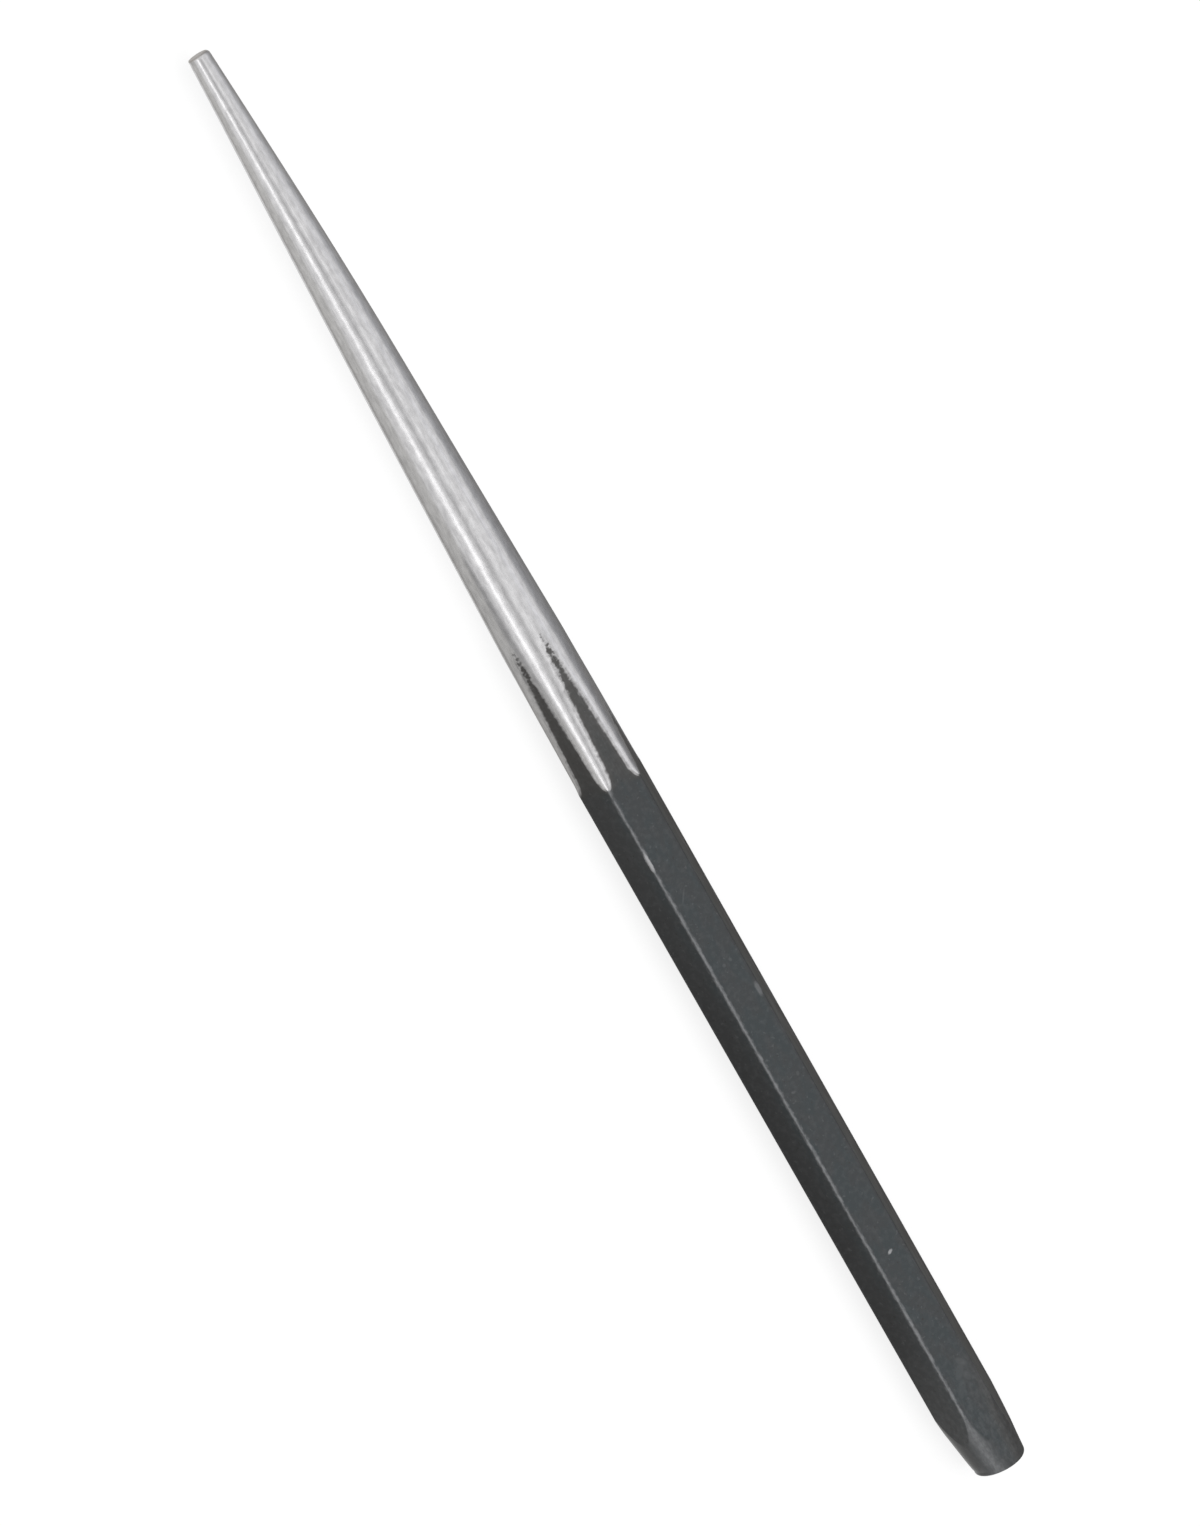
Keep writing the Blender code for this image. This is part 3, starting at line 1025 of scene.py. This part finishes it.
def grey_card(name, first, last, grade, corner, first_side, second_side, tip_end=1.0, head_end=1.0):
    """A card that shows only in reflections, as a studio sets them round bright metal.

    It is graded from its first grey to its last between two places on an axis, and its brightness goes from
    one share to another along the taper.
    """
    card = flat_panel(name, corner, first_side, second_side)
    material, tree = new_material(name)
    tree.nodes.clear()
    place = add_node(tree, "ShaderNodeTexCoord").outputs["Object"]
    spot = split(tree, place)
    axis, start, end = grade
    share = step(tree, spot[axis], start, end)
    strength = mix_values(tree, step(tree, spot["X"], *CARD_TAPER), tip_end, head_end)
    inputs = {"Color": mix_colours(tree, share, rgba(first), rgba(last)), "Strength": strength}
    glow = add_node(tree, "ShaderNodeEmission", inputs)
    output = add_node(tree, "ShaderNodeOutputMaterial")
    tree.links.new(glow.outputs["Emission"], output.inputs["Surface"])
    card.data.materials.append(material)
    card.visible_camera = False
    card.visible_diffuse = False
    card.visible_transmission = False
    card.visible_shadow = False
    return card


def seen_rays(tree):
    """One for rays from the camera and for those that mirror or pass on what it sees, zero for the rest."""
    rays = add_node(tree, "ShaderNodeLightPath").outputs
    seen = larger(tree, rays["Is Camera Ray"], rays["Is Glossy Ray"])
    return larger(tree, seen, rays["Is Transmission Ray"])


def make_floor(studio):
    """A large pale floor, with a little glow of its own where it is seen so that it reads as white."""
    reach, drop, glow = 5.0, 0.0001, 0.81
    floor = flat_panel("floor", (-reach, -reach, -drop), (2 * reach, 0, 0), (0, 2 * reach, 0))
    material, tree = new_material("pale_floor")
    shader = tree.nodes["Principled BSDF"]
    shader.inputs["Base Color"].default_value = rgba(studio.floor_colour)
    shader.inputs["Roughness"].default_value = 0.9
    shader.inputs["Specular IOR Level"].default_value = 0.0
    shader.inputs["Emission Color"].default_value = WHITE
    tree.links.new(times(tree, seen_rays(tree), glow), shader.inputs["Emission Strength"])
    floor.data.materials.append(material)
    return floor


def make_world(studio):
    """White where it is seen, and an even room light for the rest."""
    world = bpy.data.worlds.new("light_tent")
    bpy.context.scene.world = world
    world.use_nodes = True
    tree = world.node_tree
    strength = mix_values(tree, seen_rays(tree), studio.room_light, 1.0)
    background = tree.nodes["Background"]
    background.inputs["Color"].default_value = WHITE
    tree.links.new(strength, background.inputs["Strength"])


def make_lamps(studio):
    """A large soft box overhead, a strip for the highlight, and two faint tubes."""
    length = 1.6
    top, _, _, far_tube = (
        strip_lamp(name, math.radians(turn), distance, middle, (length, width), brightness)
        for name, turn, distance, middle, width, brightness in (
            ("top_soft_box", 8.0, 1.1, 0.10, 1.10, studio.top_light),
            ("highlight_strip", -45.5, 1.0, 0.25, 0.18, studio.strip_light),
            ("ceiling_tube", 5.0, 1.2, 0.25, 0.22, 1.4 * studio.tube_light),
            ("far_tube", 42.0, 1.2, 0.25, 0.20, studio.tube_light),
        )
    )
    top.visible_glossy = False
    far_tube.data.color = (0.80, 0.84, 1.0)


def make_cards(studio):
    """Grey cards that shape the reflections: low ones on both sides of the punch, and the camera's gap."""
    bright, dim = studio.near_card_taper, studio.near_card_bar
    near_foot = -CARD_FOOT
    up_and_out = (0.0, -0.0113, 0.0101)
    low_up_and_out = (0.0, -0.0020, 0.0018)
    along_bar = ("X", -0.056, 0.070)
    near_head = ("X", 0.120, 0.152)
    for name, first, last, grade, start, end, foot, rising, *brightness in (
        ("near_card", bright, dim, along_bar, -0.250, 0.105, near_foot, up_and_out, 1.10, 0.92),
        ("near_card_end", dim, bright, near_head, 0.105, 0.159, near_foot, up_and_out),
        ("near_card_foot", dim, dim, along_bar, -0.250, 0.010, near_foot + 0.0002, low_up_and_out, 1.5, 1.0),
    ):
        sides = (end - start, 0.0, 0.0), rising
        grey_card(name, first, last, grade, (start, foot, CARD_LIFT), *sides, *brightness)

    far_rising = (0.0, 0.0110, 0.0175)
    upwards = ("Z", CARD_LIFT, CARD_LIFT + far_rising[2])
    for name, grey, start, end, *brightness in (
        ("far_card_taper", studio.far_card_taper, -0.250, 0.000, 1.28, 0.68),
        ("far_card_bar", studio.far_card_bar, 0.000, 0.950, 0.85, 0.85),
    ):
        sides = (end - start, 0.0, 0.0), far_rising
        corner = (start, CARD_FOOT, CARD_LIFT)
        grey_card(name, grey, studio.far_card_top, upwards, corner, *sides, *brightness)

    grey = (studio.run_out_card,) * 3
    sides = (0.058, 0.0, 0.0085), (0.0, -0.0005, 0.0062)
    grey_card("run_out_card", grey, bright, ("X", -0.038, 0.0), (-0.050, -0.0150, 0.0045), *sides)

    grey = (studio.gap_card,) * 3
    turn = -studio.camera_swing
    across = Vector((0.0, math.cos(turn), -math.sin(turn))) * 0.20
    corner = from_axis(turn, 1.0) - across / 2 + Vector((-0.4, 0.0, 0.0))
    grey_card("camera_gap", grey, grey, ("X", 0.0, 1.0), corner, (1.6, 0.0, 0.0), across)


def make_camera(studio):
    """The camera, from its lean, swing and roll round the middle of the bar."""
    lean, swing, roll = studio.camera_lean, studio.camera_swing, studio.camera_roll
    level = math.cos(lean)
    back = Vector((-math.sin(lean), -level * math.sin(swing), level * math.cos(swing)))
    bar = Vector((1.0, 0.0, 0.0))
    bar = (bar - back * bar.dot(back)).normalized()
    across = back.cross(bar)
    right = bar * math.cos(roll) + across * math.sin(roll)
    up = across * math.cos(roll) - bar * math.sin(roll)
    aside, above = studio.camera_shift
    place = (BAR_LOW + BAR_HIGH) / 2 + back * studio.camera_distance - right * aside - up * above

    lens = bpy.data.cameras.new("camera")
    lens.lens = studio.focal_length
    lens.clip_start = 0.01
    camera = new_object("camera", lens)
    turned = Matrix((right, up, back)).transposed().to_4x4()
    camera.matrix_world = Matrix.Translation(place) @ turned
    bpy.context.scene.camera = camera


class PUNCH_OT_make_punch(bpy.types.Operator):
    """Build the punch as one closed surface, finish it and hang it on the frame"""

    bl_idname = "punch.make_punch"
    bl_label = "Make Punch"
    bl_options = {"REGISTER", "UNDO"}

    def execute(self, context):
        punch = build_punch(context.scene.punch_shape)
        punch.data.materials.append(punch_material(context.scene.punch_finish))
        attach(punch, "root")
        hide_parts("punch")
        return {"FINISHED"}


class PUNCH_OT_make_studio(bpy.types.Operator):
    """Set up the floor, the light and the camera"""

    bl_idname = "punch.make_studio"
    bl_label = "Make Studio"
    bl_options = {"REGISTER", "UNDO"}

    def execute(self, context):
        studio = context.scene.punch_studio
        make_floor(studio)
        make_world(studio)
        make_lamps(studio)
        make_cards(studio)
        make_camera(studio)
        context.scene.view_settings.view_transform = "Standard"
        return {"FINISHED"}


class PUNCH_PT_sidebar(bpy.types.Panel):
    """Sizes, finish and studio of the punch"""

    bl_idname = "PUNCH_PT_sidebar"
    bl_label = "Line-up Punch"
    bl_space_type = "VIEW_3D"
    bl_region_type = "UI"
    bl_category = "Punch"

    def draw(self, context):
        layout = self.layout
        layout.use_property_split = True
        layout.operator(PUNCH_OT_make_punch.bl_idname)
        layout.operator(PUNCH_OT_make_studio.bl_idname)
        scene = context.scene
        for group in (scene.punch_shape, scene.punch_finish, scene.punch_studio):
            box = layout.box()
            for name in group.__annotations__:
                box.prop(group, name)


CLASSES = (
    PunchShape,
    PunchFinish,
    PunchStudio,
    PUNCH_OT_make_punch,
    PUNCH_OT_make_studio,
    PUNCH_PT_sidebar,
)


def register():
    """Register the classes and put their settings on the scene."""
    for cls in CLASSES:
        bpy.utils.register_class(cls)
    bpy.types.Scene.punch_shape = PointerProperty(type=PunchShape)
    bpy.types.Scene.punch_finish = PointerProperty(type=PunchFinish)
    bpy.types.Scene.punch_studio = PointerProperty(type=PunchStudio)


def unregister():
    """Take the settings off the scene and unregister the classes."""
    del bpy.types.Scene.punch_studio
    del bpy.types.Scene.punch_finish
    del bpy.types.Scene.punch_shape
    for cls in reversed(CLASSES):
        bpy.utils.unregister_class(cls)


def main():
    """Make the punch and its studio."""
    register()
    bpy.ops.punch.make_punch()
    bpy.ops.punch.make_studio()


if __name__ == "__main__":
    main()
